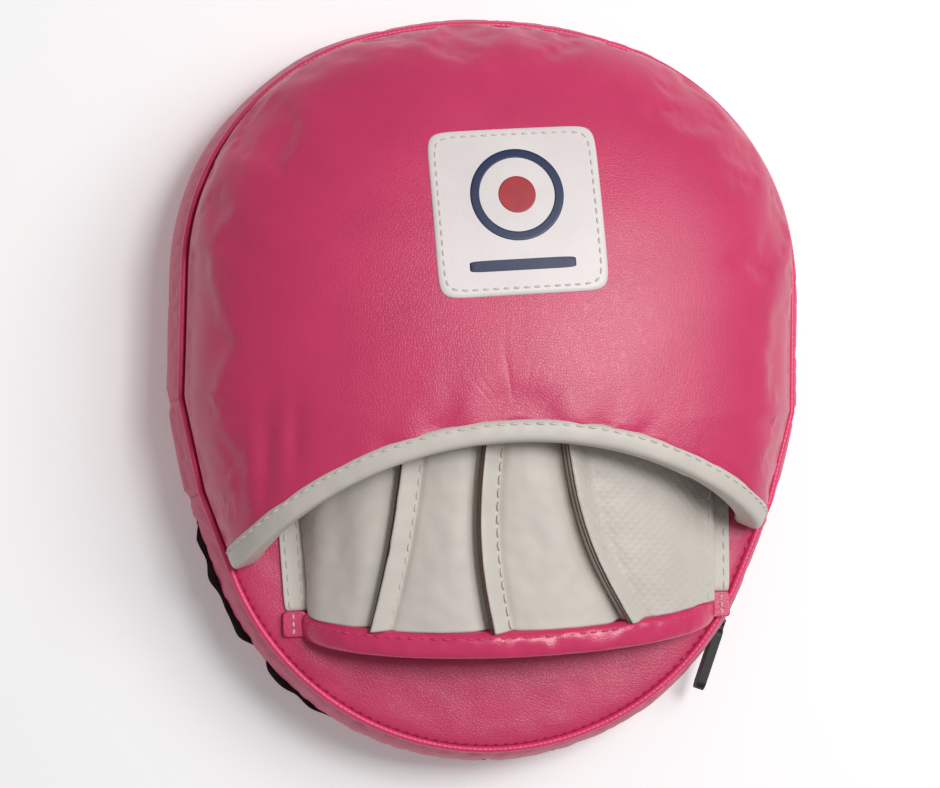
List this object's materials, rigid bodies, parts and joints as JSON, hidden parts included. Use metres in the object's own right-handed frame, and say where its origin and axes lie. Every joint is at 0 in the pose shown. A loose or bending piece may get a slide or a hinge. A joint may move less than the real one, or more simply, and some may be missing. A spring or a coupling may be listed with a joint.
{
  "type": "focus mitt",
  "caption": "Padded boxing focus mitt with a domed finger hood, an open hand glove on its back and a zip in its lower side wall.",
  "frame": {"origin": "on the striking face, at half the pad's length and width; the mitt lies on its striking face", "axes": "+Z out of the hand side, +Y towards the fingertip end, +X towards the side where the closed zip's slider rests"},
  "size_m": [0.214, 0.2515, 0.091],
  "materials": {
    "pink_leather": "satin",
    "light_leather": "satin",
    "white_leather": "satin",
    "filling": "matte",
    "lining": "matte",
    "zip_tape": "matte",
    "zip_coil": "satin",
    "nickel": "satin",
    "dark_nickel": "satin",
    "pull_rubber": "matte"
  },
  "bodies": {
    "pad": {"strike_face": "pink_leather", "target_disc": "white_leather", "front_piping": "pink_leather", "back_piping": "pink_leather", "back_panel": "pink_leather", "gusset_upper": "pink_leather", "gusset_side_left": "pink_leather", "gusset_side_right": "pink_leather", "gusset_lower_back": "pink_leather", "gusset_lower_front": "pink_leather", "foam_face": "filling", "foam_core": "filling", "foam_back": "filling", "zip_tape_back": "zip_tape", "zip_tape_front": "zip_tape", "zip_coil_back": "zip_coil", "zip_coil_front": "zip_coil", "zip_stop_left": "nickel", "zip_stop_right": "nickel", "hood_skin": "pink_leather", "hood_foam": "filling", "hood_lining": "lining", "hood_binding": "light_leather", "hood_label": "white_leather", "stall_panel_1": "light_leather", "stall_panel_2": "light_leather", "stall_panel_3": "light_leather", "stall_panel_4": "light_leather", "side_strip_left": "light_leather", "side_strip_right": "light_leather", "wrist_binding": "pink_leather", "binding_tab_left": "pink_leather", "binding_tab_right": "pink_leather"},
    "slider": {"slider_body": "nickel"},
    "link": {"pull_link": "dark_nickel"},
    "tab": {"pull_tab": "pull_rubber"}
  },
  "joints": [
    {"name": "zip_travel", "type": "hinge", "parent": "pad", "child": "slider", "pos_m": [0, -0.03025, 0.018], "axis": [0, 0, 1], "range_deg": [-127.5, 0]},
    {"name": "pull_swing", "type": "hinge", "parent": "slider", "child": "link", "pos_m": [0.08628, -0.0717, 0.018], "axis": [0, 0, 1], "range_deg": [0, 164]},
    {"name": "tab_swing", "type": "hinge", "parent": "link", "child": "tab", "pos_m": [0.08387, -0.07902, 0.018], "axis": [0, 0, 1], "range_deg": [-15, 15]}
  ]
}
